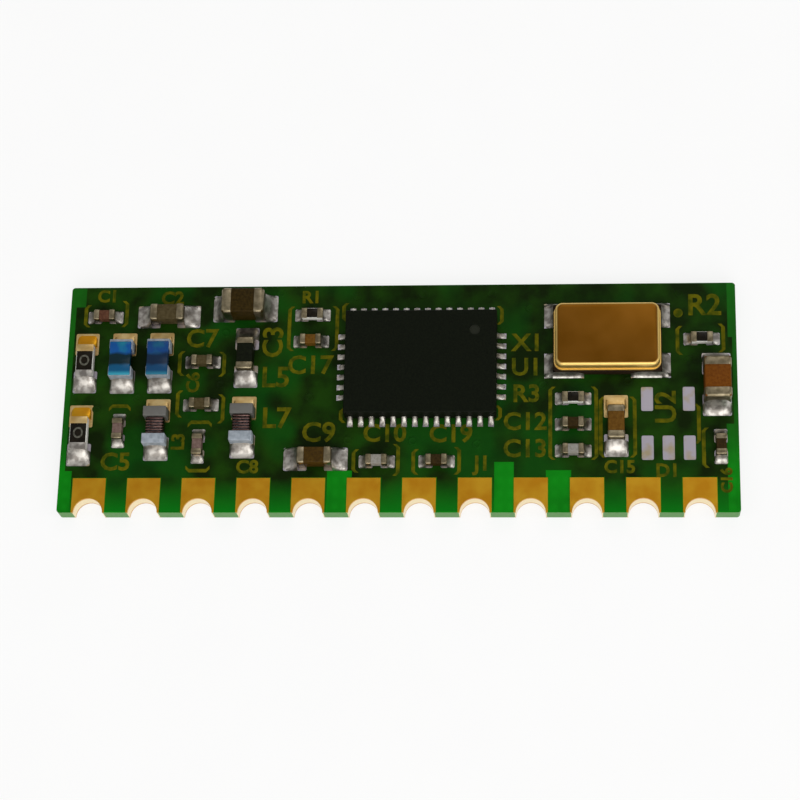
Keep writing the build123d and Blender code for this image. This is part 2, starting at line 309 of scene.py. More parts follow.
# %% Camera
camera_data = bpy.data.cameras.new("photo_camera")
camera_data.sensor_width = 36
camera_data.lens = 102.91
camera_data.clip_start = 0.001
camera_data.clip_end = 10
camera = bpy.data.objects.new("photo_camera", camera_data)
bpy.context.collection.objects.link(camera)
bpy.context.scene.camera = camera
camera_place = Vector((8.54, -34.49, 100.26)) * MM
right = (0.99682, 0.02195, -0.07674)
up = (0.00428, 0.94534, 0.32606)
back = (0.0797, -0.32535, 0.94224)
camera_turn = Matrix((right, up, back)).transposed()
camera.matrix_world = Matrix.Translation(camera_place) @ camera_turn.to_4x4()
print("camera is", round(camera_place.length / MM, 1), "mm from the board")

# %% [markdown]
# Small parts are lit with lamps that are large for them. Bright tin and gold show what
# they mirror: seen from above, a flat top mirrors the dim ceiling and stays calm, while a
# solder slope that leans to the front mirrors the big lamp there and flashes white. The
# sky is therefore kept low, and one wide lamp in front, with smaller ones at the sides and
# behind, brings the light up to a level at which a colour renders about as it is written.

# %% Light
SKY_LEVEL = 0.42
scene = bpy.context.scene
scene.view_settings.view_transform = "Standard"
world = bpy.data.worlds.new("studio")
scene.world = world
world.use_nodes = True
sky = world.node_tree.nodes["Background"]
sky.inputs["Color"].default_value = linear("#FFFFFF")
sky.inputs["Strength"].default_value = SKY_LEVEL


def add_lamp(name, azimuth, elevation, distance, side, level):
    """A square lamp that looks at the board; level is its share of full daylight."""
    lamp = bpy.data.lights.new(name, "AREA")
    lamp.size = side
    lamp.energy = math.pi ** 2 * level * distance ** 2
    holder = bpy.data.objects.new(name, lamp)
    bpy.context.collection.objects.link(holder)
    a, e = math.radians(azimuth), math.radians(elevation)
    out = Vector((math.sin(a) * math.cos(e), -math.cos(a) * math.cos(e), math.sin(e)))
    holder.location = out * distance
    holder.rotation_mode = "QUATERNION"
    holder.rotation_quaternion = (-out).to_track_quat("-Z", "Y")


add_lamp("front_lamp", 12, 38, 0.40, 0.36, 0.64)
add_lamp("left_lamp", -75, 45, 0.40, 0.16, 0.08)
add_lamp("right_lamp", 80, 35, 0.40, 0.18, 0.16)
add_lamp("back_lamp", 165, 50, 0.45, 0.20, 0.10)

# %% [markdown]
# The module lies on white card. To the camera, and to metal that mirrors it, most of the
# card's brightness comes from a glow, so the picture's ground is white with no more light
# on the board. The rest is plain paper, which keeps the board's soft shadow.

# %% Floor
FLOOR_SIDE = 3.0
FLOOR_DROP = 0.00003
GLOW_SHARE = 0.8
clear_selection()
bpy.ops.mesh.primitive_plane_add(size=FLOOR_SIDE, location=(0, 0, -FLOOR_DROP))
floor = bpy.context.object
floor.name = "floor"
card, card_places = new_material("white_card")
# Uncoated pressed paper: matt, its white hardly cloudy.
clouds = two_tones(card, card_places, 5.0, "#F1F1EF", "#F4F4F2")
paper = add_node(card, "BsdfPrincipled", {"Base Color": clouds, "Roughness": 0.9})
glow = add_node(card, "Emission", {"Color": "#FFFFFF", "Strength": 1.0})
rays = add_node(card, "LightPath", {}).outputs
seen = rays["Is Camera Ray"]
for ray in ("Is Glossy Ray", "Is Transmission Ray"):
    seen = add_node(card, "Math", {0: seen, 1: rays[ray]}, operation="MAXIMUM").outputs[0]
share = add_node(card, "Math", {0: seen, 1: GLOW_SHARE}, operation="MULTIPLY")
both = add_node(card, "MixShader", {0: share.outputs[0], 1: paper.outputs[0], 2: glow.outputs[0]})
add_node(card, "OutputMaterial", {"Surface": both.outputs[0]})
wear(floor, card)
print("the card is", FLOOR_SIDE, "m wide")

# %% [markdown]
# The board is glass cloth and epoxy with a green mask on both faces. Where no copper lies
# under the mask, light goes through it into the pale laminate and comes back bright green.
# The cloth's weave is half a millimetre and shows faintly through it. The mask pooled
# thicker, so darker, away from the contacts.

# %% The bare board's green
board_low, board_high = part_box("circuit_board")
LEFT, FRONT = board_low.x / MM, board_low.y / MM
RIGHT, BACK = board_high.x / MM, board_high.y / MM
BOARD_TOP = board_high.z / MM
WEAVE_ALONG, WEAVE_ACROSS, PLY = 0.5, 0.62, 0.11
WAVES_PER_UNIT = 20 / math.tau  # bands of a wave texture in one unit at scale 1

mask, mask_places = new_material("solder_mask_on_glass_laminate")
# Screen-printed epoxy mask: glossy, slightly uneven, bright where it lies on bare laminate.
greens = two_tones(mask, mask_places, 2.2, "#046A08", "#087E0E", 0.35, 0.6)
weave = []
for axis, pitch in (("X", WEAVE_ALONG), ("Y", WEAVE_ACROSS)):
    inputs = {"Vector": mask_places, "Scale": per_metre(pitch) / WAVES_PER_UNIT}
    weave.append(add_node(mask, "TexWave", inputs, bands_direction=axis).outputs["Fac"])
cloth = add_node(mask, "Math", {0: weave[0], 1: weave[1]}, operation="MULTIPLY").outputs[0]
knots = add_node(mask, "Math", {0: cloth, 1: 0.2}, operation="MULTIPLY").outputs[0]
woven = add_node(mask, "Mix", {0: knots, 6: greens, 7: "#16961C"}, data_type="RGBA").outputs[2]
where = add_node(mask, "SeparateXYZ", {0: mask_places}).outputs
face_green = blend(mask, where["Y"], (FRONT + 2, FRONT + 4), woven, "#163E0C", (0.0, 0.65))
print("the weave is drawn every", WEAVE_ALONG, "mm")

# %% [markdown]
# The same material has two more places to tell apart. At the cut edges, between the heights
# of the two faces, the bare laminate shows with its plies of glass. Under the board the
# copper covers all but a margin and the mask is dark: that field is found by measuring how
# far a point lies beyond a box.

# %% The underside and the cut edges
SLIVER = 0.002 * MM
POUR_MARGIN, POUR_FRONT = 0.45, -3.5
CLOTH_RELIEF = 0.003
over_zero = add_node(mask, "Math", {0: where["Z"], 1: SLIVER}, operation="GREATER_THAN")
top_level = {0: where["Z"], 1: BOARD_TOP * MM - SLIVER}
under_top = add_node(mask, "Math", top_level, operation="LESS_THAN")
both_sides = {0: over_zero.outputs[0], 1: under_top.outputs[0]}
is_edge = add_node(mask, "Math", both_sides, operation="MULTIPLY").outputs[0]
pour_low = Vector((LEFT + POUR_MARGIN, POUR_FRONT, -0.1)) * MM
pour_high = Vector((RIGHT - POUR_MARGIN, BACK - POUR_MARGIN, 0.1)) * MM
from_centre = {0: mask_places, 1: (pour_low + pour_high) / 2}
moved = add_node(mask, "VectorMath", from_centre, operation="SUBTRACT")
folded = add_node(mask, "VectorMath", {0: moved.outputs[0]}, operation="ABSOLUTE")
past_box = {0: folded.outputs[0], 1: (pour_high - pour_low) / 2}
past = add_node(mask, "VectorMath", past_box, operation="SUBTRACT")
axes = add_node(mask, "SeparateXYZ", {0: past.outputs[0]}).outputs
flat = add_node(mask, "Math", {0: axes["X"], 1: axes["Y"]}, operation="MAXIMUM")
outside = add_node(mask, "Math", {0: flat.outputs[0], 1: axes["Z"]}, operation="MAXIMUM")
in_box = {0: outside.outputs[0], 1: 0.0}
is_under = add_node(mask, "Math", in_box, operation="LESS_THAN").outputs[0]
ply_scale = {"Vector": mask_places, "Scale": per_metre(PLY) / WAVES_PER_UNIT}
plies = add_node(mask, "TexWave", ply_scale, bands_direction="Z").outputs["Fac"]
cut_tones = {0: plies, 6: "#417A34", 7: "#62924E"}
cut_edge = add_node(mask, "Mix", cut_tones, data_type="RGBA").outputs[2]
face_tones = {0: is_under, 6: face_green, 7: "#0F360C"}
faces = add_node(mask, "Mix", face_tones, data_type="RGBA").outputs[2]
colour = add_node(mask, "Mix", {0: is_edge, 6: faces, 7: cut_edge}, data_type="RGBA").outputs[2]
relief = add_node(mask, "Bump", {"Height": cloth, "Distance": CLOTH_RELIEF * MM}).outputs[0]
close_material(mask, {
    "Base Color": colour, "Roughness": 0.36, "Specular IOR Level": 0.08, "Normal": relief,
})
wear(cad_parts["circuit_board"], mask)
print("the board's material has", len(mask.node_tree.nodes), "nodes")

# %% [markdown]
# Most of the face is covered by copper under the mask, which lies a hair higher and looks
# dark green. A plane of the board's size is cut along straight lines with bisect, the
# fields with no copper are deleted, and the rest is raised. That gives the small step
# that the real mask has along the copper's rim.

# %% Copper under the mask
POUR_RISE = 0.016
POUR_TOP = BOARD_TOP + POUR_RISE
PAD_CLEARANCE = 0.035


def on_board(x, y):
    """A place measured from the board's left front corner."""
    return x + LEFT, y + FRONT


board_length, board_depth = RIGHT - LEFT, BACK - FRONT
# Each field's left, right, front and back.
bare_fields = [
    (0, 0.27, 0, board_depth), (0, 0.6, 0, 2.0), (0, 0.72, 10.1, board_depth),
    (12.45, 13.6, 0, 2.0), (20.1, 21.0, 0, 2.4), (22.45, 23.6, 0, 2.0),
    (30.65, board_length, 0, 4.2), (30.8, board_length, 8.4, board_depth),
    (board_length - 0.2, board_length, 0, board_depth), (0, board_length, 0, 0.06),
    (0, board_length, board_depth - 0.03, board_depth),
]
for i in range(1, 13):
    low, high = box_mm(f"edge_contact_{i:02d}")
    x0, x1 = low.x - LEFT - PAD_CLEARANCE, high.x - LEFT + PAD_CLEARANCE
    bare_fields.append((x0, x1, 0, high.y - FRONT + PAD_CLEARANCE))

clear_selection()
centre = ((LEFT + RIGHT) / 2, (FRONT + BACK) / 2, BOARD_TOP)
bpy.ops.mesh.primitive_plane_add(size=1, location=centre)
pour = bpy.context.object
pour.scale = (board_length, board_depth, 1)
bpy.ops.object.transform_apply(location=True, rotation=True, scale=True)
bpy.ops.object.mode_set(mode="EDIT")
for axis, reach in ((0, board_length), (1, board_depth)):
    lines = {round(at, 4) for field in bare_fields for at in field[2 * axis:2 * axis + 2]}
    for at in sorted(line for line in lines if NEAR < line < reach - NEAR):
        select_whole()
        bpy.ops.mesh.bisect(plane_co=(*on_board(at, at), 0), plane_no=(1 - axis, axis, 0))


def is_bare(m):
    x, y = m.x - LEFT, m.y - FRONT
    return any(x0 < x < x1 and y0 < y < y1 for x0, x1, y0, y1 in bare_fields)


pick("FACE", lambda m, n: is_bare(m))
bpy.ops.mesh.delete(type="FACE")
select_whole()
pull_out((0, 0, POUR_RISE))
pour = leave_closed(30)
print("fields with no copper:", len(bare_fields))

# %% [markdown]
# Under the mask the copper makes it dark and olive, with greener patches where the mask is
# thin. It ran thin between the contacts too, so the colour there goes over to bright green
# towards the edge. Its surface has the slow ripple of an ink that levelled before it dried.

# %% The mask over the copper
covered, covered_places = new_material("solder_mask_over_copper")
# The same mask over copper: dark, rippled, green where it is thin.
olive = two_tones(covered, covered_places, 1.3, "#0E1D02", "#193A05", 0.36, 0.64, 3)
patches = two_tones(covered, covered_places, 2.6, "#000000", "#C4C4C4", 0.5, 0.64, 1)
thin_patches = {0: patches, 6: olive, 7: "#064A0C"}
patched = add_node(covered, "Mix", thin_patches, data_type="RGBA").outputs[2]
depth = add_node(covered, "SeparateXYZ", {0: covered_places}).outputs["Y"]
thin_span = (FRONT + 1.6, FRONT + 0.1)
covered_green = blend(covered, depth, thin_span, patched, "#067212", (0.0, 0.85))
ripple = fine_grain(covered, covered_places, 0.35, 0.004)
close_material(covered, {
    "Base Color": covered_green, "Roughness": 0.36, "Specular IOR Level": 0.05, "Normal": ripple,
})
settle(wear(pour, covered), "copper_pour", "solder_mask")

# %% [markdown]
# Small plated holes join the copper on both faces. The mask covers them like a tent, so
# each shows as a low ring with a dimple in it. A short cylinder gets a rounded rim, and its
# top is inset and pushed down.

# %% Holes under the mask
VIA_RADIUS, VIA_RISE, VIA_LAND = 0.21, 0.03, 0.08
VIA_DIP = 0.8 * VIA_RISE
start(bpy.ops.mesh.primitive_cylinder_add, vertices=24, radius=VIA_RADIUS, depth=VIA_RISE)
round_edges(VIA_RISE / 2, 2, lambda m, r: m.z > VIA_RISE / 2 - HAIR)
pick("FACE", lambda m, n: n.z > 0.99)
bpy.ops.mesh.inset(thickness=VIA_LAND, depth=0)
bpy.ops.mesh.inset(thickness=VIA_LAND / 4, depth=0)
bpy.ops.transform.translate(value=(0, 0, -VIA_DIP))
via = wear(leave_edit(60), covered)
via_places = [
    (11.5, 5.55), (10.6, 2.9), (6.95, 10.6), (3.45, 5.55), (7.3, 6.2), (10.0, 10.75), (13.6, 10.55),
    (16.7, 10.6), (19.9, 10.65), (21.7, 9.9), (29.0, 7.3), (26.2, 6.3), (19.3, 3.25), (16.35, 3.4),
    (13.35, 3.45), (7.45, 8.75), (28.6, 10.6), (1.55, 5.0), (3.6, 9.0), (8.3, 4.6), (22.3, 6.1),
]
vias = [copy_to(via, *on_board(x, y), POUR_TOP + VIA_RISE / 4) for x, y in via_places]
settle(join(vias), "tented_holes", "solder_mask")
discard(via)

# %% [markdown]
# The contact pads are copper with a thin coat of nickel and gold. The gold is laid down
# chemically, so it is soft and even, neither brushed nor polished. In the half holes the
# colour goes over to a pale cream away from the board's two faces.

# %% Gold
gold, gold_places = new_material("immersion_gold")
# Chemically plated gold over nickel: satin and warm, paler inside the holes.
pads = two_tones(gold, gold_places, 0.9, "#CE8E1E", "#DAA42A")
height = add_node(gold, "SeparateXYZ", {0: gold_places}).outputs["Z"]
level = add_node(gold, "Math", {0: height, 1: BOARD_TOP / 2 * MM}, operation="SUBTRACT").outputs[0]
from_mid = add_node(gold, "Math", {0: level}, operation="ABSOLUTE").outputs[0]
hole_span = (BOARD_TOP / 2 - 0.05, BOARD_TOP / 2 - 0.12)
plated = blend(gold, from_mid, hole_span, pads, "#F6E6BE")
satin = fine_grain(gold, gold_places, 0.06, 0.0008)
close_material(gold, {"Base Color": plated, "Metallic": 1.0, "Roughness": 0.38, "Normal": satin})
for i in range(1, 13):
    wear(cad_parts[f"edge_contact_{i:02d}"], gold)
print("gold on twelve contacts")

# %% [markdown]
# The solder lands got a thin film of solder, which is why those that carry no part look
# silver with a little tan left. Their corners were rounded when the film for them was
# drawn. The frame's square ones are copied, their loose triangles are merged, and a bevel
# rounds the upright edges.

# %% Tinned lands
def merged_copy(node):
    """A frame node's copy in millimetres, its triangles merged, left in edit mode."""
    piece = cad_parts[node].copy()
    piece.data = piece.data.copy()
    for key in [key for key in piece.keys() if key.startswith("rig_")]:
        del piece[key]
    piece.parent = None
    bpy.context.collection.objects.link(piece)
    piece.data.transform(Matrix.Scale(1 / MM, 4))
    clear_selection()
    piece.select_set(True)
    bpy.context.view_layer.objects.active = piece
    bpy.ops.object.mode_set(mode="EDIT")
    select_whole()
    bpy.ops.mesh.remove_doubles(threshold=MERGE)
    bpy.ops.mesh.dissolve_limited(angle_limit=math.radians(2))
    return piece


# Copper wetted with a film of solder: silver, with tan where the film ran thin.
tin_tones = (0.6, "#BDB6C0", "#B8A888", 0.5, 0.72)
tin = two_tone_material("tinned_copper", tin_tones, (0.2, 0.002), Metallic=1, Roughness=0.36)
LAND_CORNER = 0.07


def rounded_lands(node):
    merged_copy(node)
    round_edges(LAND_CORNER, 3, is_upright)
    return wear(leave_edit(40), tin)


part_lands = rounded_lands("component_lands")
settle(rounded_lands("spare_lands"), "spare_footprint", "tinned_land", "spare_lands")
for node in ("chip_lands", "crystal_lands", "chip_contacts", "chip_paddle"):
    wear(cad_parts[node], tin)

# %% [markdown]
# Solder wets both the land and the part's end, so its free surface is hollow: steep at the
# wall, flat at the toe, and lower at both sides. A small grid is given that height point by
# point, which no single edit tool does as well, then extruded down to the land so that it
# is closed. It is one unit long, wide and high and is stretched to each joint. One form has
# a nearly square toe, and one for the chip's tiny joints a round toe.

# %% One solder fillet
FILM, THINNEST = 0.07, 0.015
HOLLOW, SIDE_DROP = 2.1, 0.75
ROUND_FROM = 0.5


def solder_master(columns, rows, rounding):
    """A fillet of one unit: wall at x 0, toe at x 1, from y -0.5 to 0.5. Its toe's corners
    draw in by a share, from none at 0 to a full arc at 1."""
    cuts = {"x_subdivisions": columns, "y_subdivisions": rows}
    start(bpy.ops.mesh.primitive_grid_add, size=1, location=(0.5, 0, 0), **cuts)
    mesh = bmesh.from_edit_mesh(bpy.context.object.data)
    for point in mesh.verts:
        x, y = point.co.x, abs(point.co.y) * 2
        climb = (1 - x) ** HOLLOW * (1 - SIDE_DROP * y ** 4)
        toe = max(0.0, (x - ROUND_FROM) / (1 - ROUND_FROM))
        point.co.z = max(climb + FILM * (1 - x ** 8) * (1 - y ** 8), THINNEST)
        point.co.y *= 1 - rounding * (1 - math.sqrt(max(0.0, 1 - toe ** 2)))
    bmesh.update_edit_mesh(bpy.context.object.data)
    select_whole()
    pull_out((0, 0, -1))
    bpy.ops.transform.resize(value=(1, 1, 0), center_override=(0, 0, 0))
    return leave_closed(50)


# Tin alloy that froze from liquid: bright and smooth, with a faint frost of crystals.
solder_tones = (0.3, "#8B857E", "#C0BBB3", 0.4, 0.6)
frost = (0.15, 0.004)
solder = two_tone_material("reflowed_solder", solder_tones, frost, Metallic=1, Roughness=0.4)
# A film so thin that the gold under it still tints it tan; the tan is partly a painted
# reflection, the warm look of fillets that face away from the lamps.
thin_and_reflection_tones = (0.4, "#D8BC84", "#C6A468")
thin_solder_and_reflection = two_tone_material(
    "thin_film_solder_and_painted_reflection", thin_and_reflection_tones, (0.2, 0.002), Metallic=1, Roughness=0.42
)
fine_fillet = wear(solder_master(13, 10, 0.36), solder)
round_fillet = wear(solder_master(9, 8, 0.8), solder)
print("a fillet has", len(fine_fillet.data.polygons), "faces")

# %% [markdown]
# Every block part is placed by the box of its solid: the longer side says which way it
# lies. Its ends are plated, so the whole part is a skin's thickness larger than the
# ceramic in it. A small table says how far each kind's lands reach out.

# %% Where the parts are
LAND_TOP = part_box("component_lands")[1].z / MM
SKIN = 0.03


def read_part(node):
    """A part's place, turn and outer size from its solid's box."""
    low, high = box_mm(node)
    middle, span = (low + high) / 2, high - low
    plated = 0 if node.startswith("inductor") else SKIN
    wide = 0 if node.startswith(("resistor", "jumper", "inductor")) else SKIN
    part = {"x": middle.x, "y": middle.y, "turn": 90 if span.y > span.x else 0}
    part["length"] = round(max(span.x, span.y) + 2 * plated, 3)
    part["width"] = round(min(span.x, span.y) + 2 * wide, 3)
    part["height"] = round(high.z + plated - LAND_TOP, 3)
    return part


part_names = [n for n in sorted(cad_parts) if n[-2:].isdigit() and not n.startswith("edge")]
parts_read = {name: read_part(name) for name in part_names}
# Each kind by its outer length, how far its lands reach past its ends and its sides, and
# the length of its plated ends.
kinds = {1.0: "small", 1.6: "middle", 2.0: "large", 1.8: "wound"}
land_toe = {"small": 0.33, "middle": 0.68, "large": 0.52, "wound": 0.6}
land_side = {"small": 0.05, "middle": 0.15, "large": 0.03, "wound": 0.03}
terminal = {"small": 0.26, "middle": 0.34, "large": 0.46, "wound": 0.48}
for part in parts_read.values():
    part["kind"] = kinds[part["length"]]
print({kind: sum(p["kind"] == kind for p in parts_read.values()) for kind in kinds.values()})

# %% [markdown]
# Now the fillets go to both ends of all the parts. Solder never freezes twice the same, so
# each gets a few percent more or less height from a seeded draw. At the back ends of the
# longer upright parts the solder ran thin: those lands stay tan, and at the jumpers gold.
# That tan and gold are partly the thin film and partly a painted reflection, the warm look
# of fillets that face away from the lamps.

# %% The parts' solder
SOLDER_CLIMB, WOUND_CLIMB, JUMPER_CLIMB = 0.62, 0.45, 0.95
LEAST_CLIMB = 0.88
THIN_RISE, THIN_SPREAD = 0.4, 0.86
TAN_REACH = 0.6
# The back ends' tan and gold are partly a thin film and partly a painted reflection.
thin_backs = {"jumper_01": gold, "jumper_02": gold, "capacitor_14": thin_solder_and_reflection}
thin_backs.update({f"inductor_{i:02d}": thin_solder_and_reflection for i in range(1, 5)})
draw = random.Random(4)
joints, tan_painted_lands = [], []
for name, part in parts_read.items():
    kind = part["kind"]
    climb = WOUND_CLIMB if kind == "wound" else part["height"] * SOLDER_CLIMB
    if name.startswith("jumper"):
        climb = part["height"] * JUMPER_CLIMB
    width = part["width"] + 2 * land_side[kind]
    for end in (0, 180):
        angle = part["turn"] + end
        out = Vector((math.cos(math.radians(angle)), math.sin(math.radians(angle))))
        x, y = Vector((part["x"], part["y"])) + out * part["length"] / 2
        rise = climb * draw.uniform(LEAST_CLIMB, 1.0)
        size = Vector((land_toe[kind], width, rise))
        is_thin = name in thin_backs and end == 0
        if is_thin:
            size = Vector((size.x * THIN_SPREAD, size.y * THIN_SPREAD, size.z * THIN_RISE))
            tan_painted_lands.append(Vector((x, y)))
        joint = copy_to(fine_fillet, x, y, LAND_TOP, angle, size)
        joints.append(wear(joint, thin_backs[name]) if is_thin else joint)
settle(join(joints), "part_solder", "solder", "component_solder")
# Lands by those back ends wear the tan too, partly a thin film, partly a painted reflection.
part_lands.data.materials.append(thin_solder_and_reflection)
for face in part_lands.data.polygons:
    reaches = [(face.center.xy - place).length for place in tan_painted_lands]
    face.material_index = min(reaches) < TAN_REACH
settle(part_lands, "part_lands", "tinned_land", "component_lands")

# %% [markdown]
# The chip has a contact every half millimetre under its four edges, each with a drop of
# solder no bigger than a grain of salt. The crystal stands in solder at its four corners:
# each joint is one fillet along the crystal's end and one along its side, which meet.

# %% Solder of the chip and of the crystal
chip_low, chip_high = box_mm("chip_body")
CONTACT_PITCH = 0.5
CHIP_SOLDER_WIDTH, CHIP_SOLDER_RISE, LEAST_DROP = 0.27, 0.26, 0.8
chip_middle = (chip_low + chip_high) / 2
half_chip = (chip_high - chip_low) / 2
# Each side's angle, contacts, distance from the middle and toe.
rows = (
    (-90, 14, half_chip.y, 0.38), (90, 14, half_chip.y, 0.44),
    (0, 7, half_chip.x, 0.4), (180, 7, half_chip.x, 0.36),
)
drops = []
for angle, count, edge, toe in rows:
    out = Vector((math.cos(math.radians(angle)), math.sin(math.radians(angle))))
    along = Vector((abs(out.y), abs(out.x)))
    for i in range(count):
        at = chip_middle.xy + out * edge + along * (i - (count - 1) / 2) * CONTACT_PITCH
        size = (toe, CHIP_SOLDER_WIDTH, CHIP_SOLDER_RISE * draw.uniform(LEAST_DROP, 1.0))
        drops.append(copy_to(round_fillet, at.x, at.y, LAND_TOP, angle, size))
settle(join(drops), "chip_joints", "solder", "chip_solder")

crystal_low, crystal_high = box_mm("crystal_base")
outer_low, outer_high = box_mm("crystal_solder")
middle, half = (crystal_low + crystal_high) / 2, (crystal_high - crystal_low) / 2
outer = (outer_high - outer_low) / 2
END_ARM, SIDE_ARM = 1.2, 1.83
rise = outer_high.z - outer_low.z
end_size = (outer.x - half.x, END_ARM, rise)
side_size = (outer.y - half.y, SIDE_ARM, rise)
arms = []
for i in (-1, 1):
    for j in (-1, 1):
        x, end_x = middle.x + i * (outer.x - SIDE_ARM / 2), middle.x + i * half.x
        y, side_y = middle.y + j * (outer.y - END_ARM / 2), middle.y + j * half.y
        arms.append(copy_to(fine_fillet, end_x, y, LAND_TOP, 90 - 90 * i, end_size))
        arms.append(copy_to(fine_fillet, x, side_y, LAND_TOP, 90 * j, side_size))
settle(join(arms), "crystal_joints", "solder", "crystal_solder")
discard(fine_fillet, round_fillet)

# %% [markdown]
# A ceramic capacitor is a fired block that was tumbled before its ends were dipped in
# metal paste, so the block's edges are soft and the metal caps are rounder still and lap
# over the block. A cube gets all its edges rounded for the block. For a cap the outer
# end is rounded more than the inner rim, which is where the paste's edge lies thin.

# %% A capacitor's block and cap
BLOCK_ROUND, CAP_ROUND = 0.06, 0.13  # shares of the part's height
RIM_ROUND = 0.6 * SKIN


def ceramic_master(length, width, height):
    """A tumbled block in a skin of metal, with its middle at the origin."""
    add_block(
        (SKIN - length / 2, SKIN - width / 2, SKIN),
        (length / 2 - SKIN, width / 2 - SKIN, height - SKIN),
    )
    round_edges(BLOCK_ROUND * height, 3)
    return leave_edit(40)


def cap_master(length, width, height, reach):
    """The dipped end of a block, at its +X end."""
    inner = length / 2 - reach
    add_block((inner, -width / 2, 0), (length / 2, width / 2, height))
    end_face = length / 2 - NEAR
    round_edges(
        CAP_ROUND * height, 4,
        lambda m, r: m.x > end_face or (is_along(r, 0) and m.x > inner),
    )
    round_edges(RIM_ROUND, 2, lambda m, r: m.x < inner + HAIR)
    return leave_edit(40)


def fired_ceramic(name, dark, light):
    """Pressed, fired and tumbled ceramic: matt and fine-grained, with a faint sheen."""
    tones, grain = (0.12, dark, light, 0.3, 0.7, 3), (0.04, 0.002)
    return two_tone_material(name, tones, grain, Roughness=0.45, Specular_IOR_Level=0.06)


# Barrel-plated tin: a soft grey-silver, a little brown where the ceramic's dust stayed.
caps_tones = (0.3, "#716750", "#968A70")
caps_metal = two_tone_material(
    "matt_tin_plating", caps_tones, (0.05, 0.002), Metallic=1, Roughness=0.38
)
ceramic_tones = {
    "rose": ("#4A2C20", "#60402E"), "lilac_grey": ("#5E4A44", "#78645C"),
    "tan": ("#56380F", "#684818"), "clay_grey": ("#3E341E", "#50462E"),
    "pale_grey": ("#7E7A70", "#94908A"), "dark_brown": ("#261C0A", "#382A12"),
    "umber": ("#34240A", "#48340E"), "blackish": ("#241A04", "#36290C"),
    "red_brown": ("#5E3208", "#70400E"),
}
ceramics = {}
for tone, pair in ceramic_tones.items():
    ceramics[tone] = fired_ceramic(tone + "_fired_ceramic", *pair)
ceramics["ferrite"] = fired_ceramic("black_ferrite", "#0A0D06", "#14180C")
print("ceramics:", ", ".join(ceramics))

# %% [markdown]
# Each capacitor keeps a piece of its own for its block, because the blocks differ in
# colour from one value to the next. All the caps have one finish, so they become a single
# piece.

# %% The capacitors and the bead
# In the order of the capacitors' numbers. The third one's blackish tone is partly its own
# dark olive-brown and partly painted shade.
capacitor_colours = (
    "rose", "clay_grey", "blackish", "tan", "clay_grey", "clay_grey", "lilac_grey", "lilac_grey",
    "umber", "pale_grey", "dark_brown", "dark_brown", "pale_grey", "tan", "red_brown", "dark_brown",
)
block_colours = {f"capacitor_{i:02d}": tone for i, tone in enumerate(capacitor_colours, 1)}
block_colours["bead_01"] = "ferrite"
record_slots = dict.fromkeys(block_colours, "brown_ceramic")
record_slots["bead_01"] = "ferrite"
for name in ("capacitor_02", "capacitor_05", "capacitor_08", "capacitor_10", "capacitor_13"):
    record_slots[name] = "grey_ceramic"
block_masters = {}
cap_masters = {}
caps = []
for name, colour in block_colours.items():
    part = parts_read[name]
    kind = part["kind"]
    if kind not in block_masters:
        size = (part["length"], part["width"], part["height"])
        block_masters[kind] = ceramic_master(*size)
        cap_masters[kind] = wear(cap_master(*size, terminal[kind]), caps_metal)
    block = copy_to(block_masters[kind], part["x"], part["y"], LAND_TOP, part["turn"])
    settle(wear(block, ceramics[colour]), name + "_block", record_slots[name], name)
    for end in (0, 180):
        caps.append(copy_to(cap_masters[kind], part["x"], part["y"], LAND_TOP, part["turn"] + end))
settle(join(caps), "capacitor_caps", "terminal", "capacitor_terminals")
discard(*block_masters.values(), *cap_masters.values())

# %% [markdown]
# A film resistor is a slice of white alumina with folded metal ends and a dark glass glaze
# over its film. The shapes of their solids are right but for the sharp edges, so copies
# stand in for them, and a Bevel modifier softens all their edges at once. At the two
# jumpers the solder wetted the front ends over their tops, and the back ends kept their
# tan: those faces get materials of their own. That tan is partly a thin film and partly a
# painted reflection of ends that face away from the lamps.

# %% The resistors and the jumpers
SLICE_BREAK, GLAZE_BREAK = 0.012, 0.014


def softened(node, radius, segments=2):
    """A merged copy of a frame node with its sharp edges rounded."""
    piece = merged_copy(node)
    bpy.ops.object.mode_set(mode="OBJECT")
    bevel = piece.modifiers.new("round", "BEVEL")
    bevel.width = radius
    bevel.segments = segments
    bevel.limit_method = "ANGLE"
    bevel.angle_limit = math.radians(40)
    bpy.ops.object.modifier_apply(modifier=bevel.name)
    bpy.ops.object.shade_smooth_by_angle(angle=math.radians(50))
    return piece


# Snapped from a larger plate: white, finely granular, rougher at its sides.
alumina_tones = (0.08, "#C6C3BA", "#E2E0D8")
alumina = two_tone_material("snapped_alumina", alumina_tones, (0.03, 0.002), Roughness=0.6)
# Printed glass paste, fired: black-brown and smooth, with a slow waviness.
glaze_tones = (0.2, "#0E0B05", "#1C170E", 0.35, 0.7)
glaze = two_tone_material(
    "fired_glass_glaze", glaze_tones, (0.3, 0.005), Roughness=0.25, Specular_IOR_Level=0.12
)
for name in part_names:
    if name.startswith(("resistor", "jumper")):
        settle(wear(softened(name, SLICE_BREAK), alumina), name + "_chip", "alumina", name)
glazes = wear(softened("resistor_glaze", GLAZE_BREAK, 3), glaze)
settle(glazes, "resistor_top_glaze", "glaze", "resistor_glaze")

ends = wear(softened("resistor_terminals", SLICE_BREAK), caps_metal)
# The jumpers' back ends get the tan solder: partly a thin film, partly a painted reflection.
ends.data.materials.append(solder)
ends.data.materials.append(thin_solder_and_reflection)
jumpers = [parts_read[name] for name in ("jumper_01", "jumper_02")]
for face in ends.data.polygons:
    for jumper in jumpers:
        if abs(face.center.x - jumper["x"]) < jumper["width"]:
            past_middle = face.center.y - jumper["y"]
            if abs(past_middle) < jumper["length"]:
                face.material_index = 2 if past_middle > 0 else 1
settle(ends, "resistor_folded_ends", "terminal", "resistor_terminals")

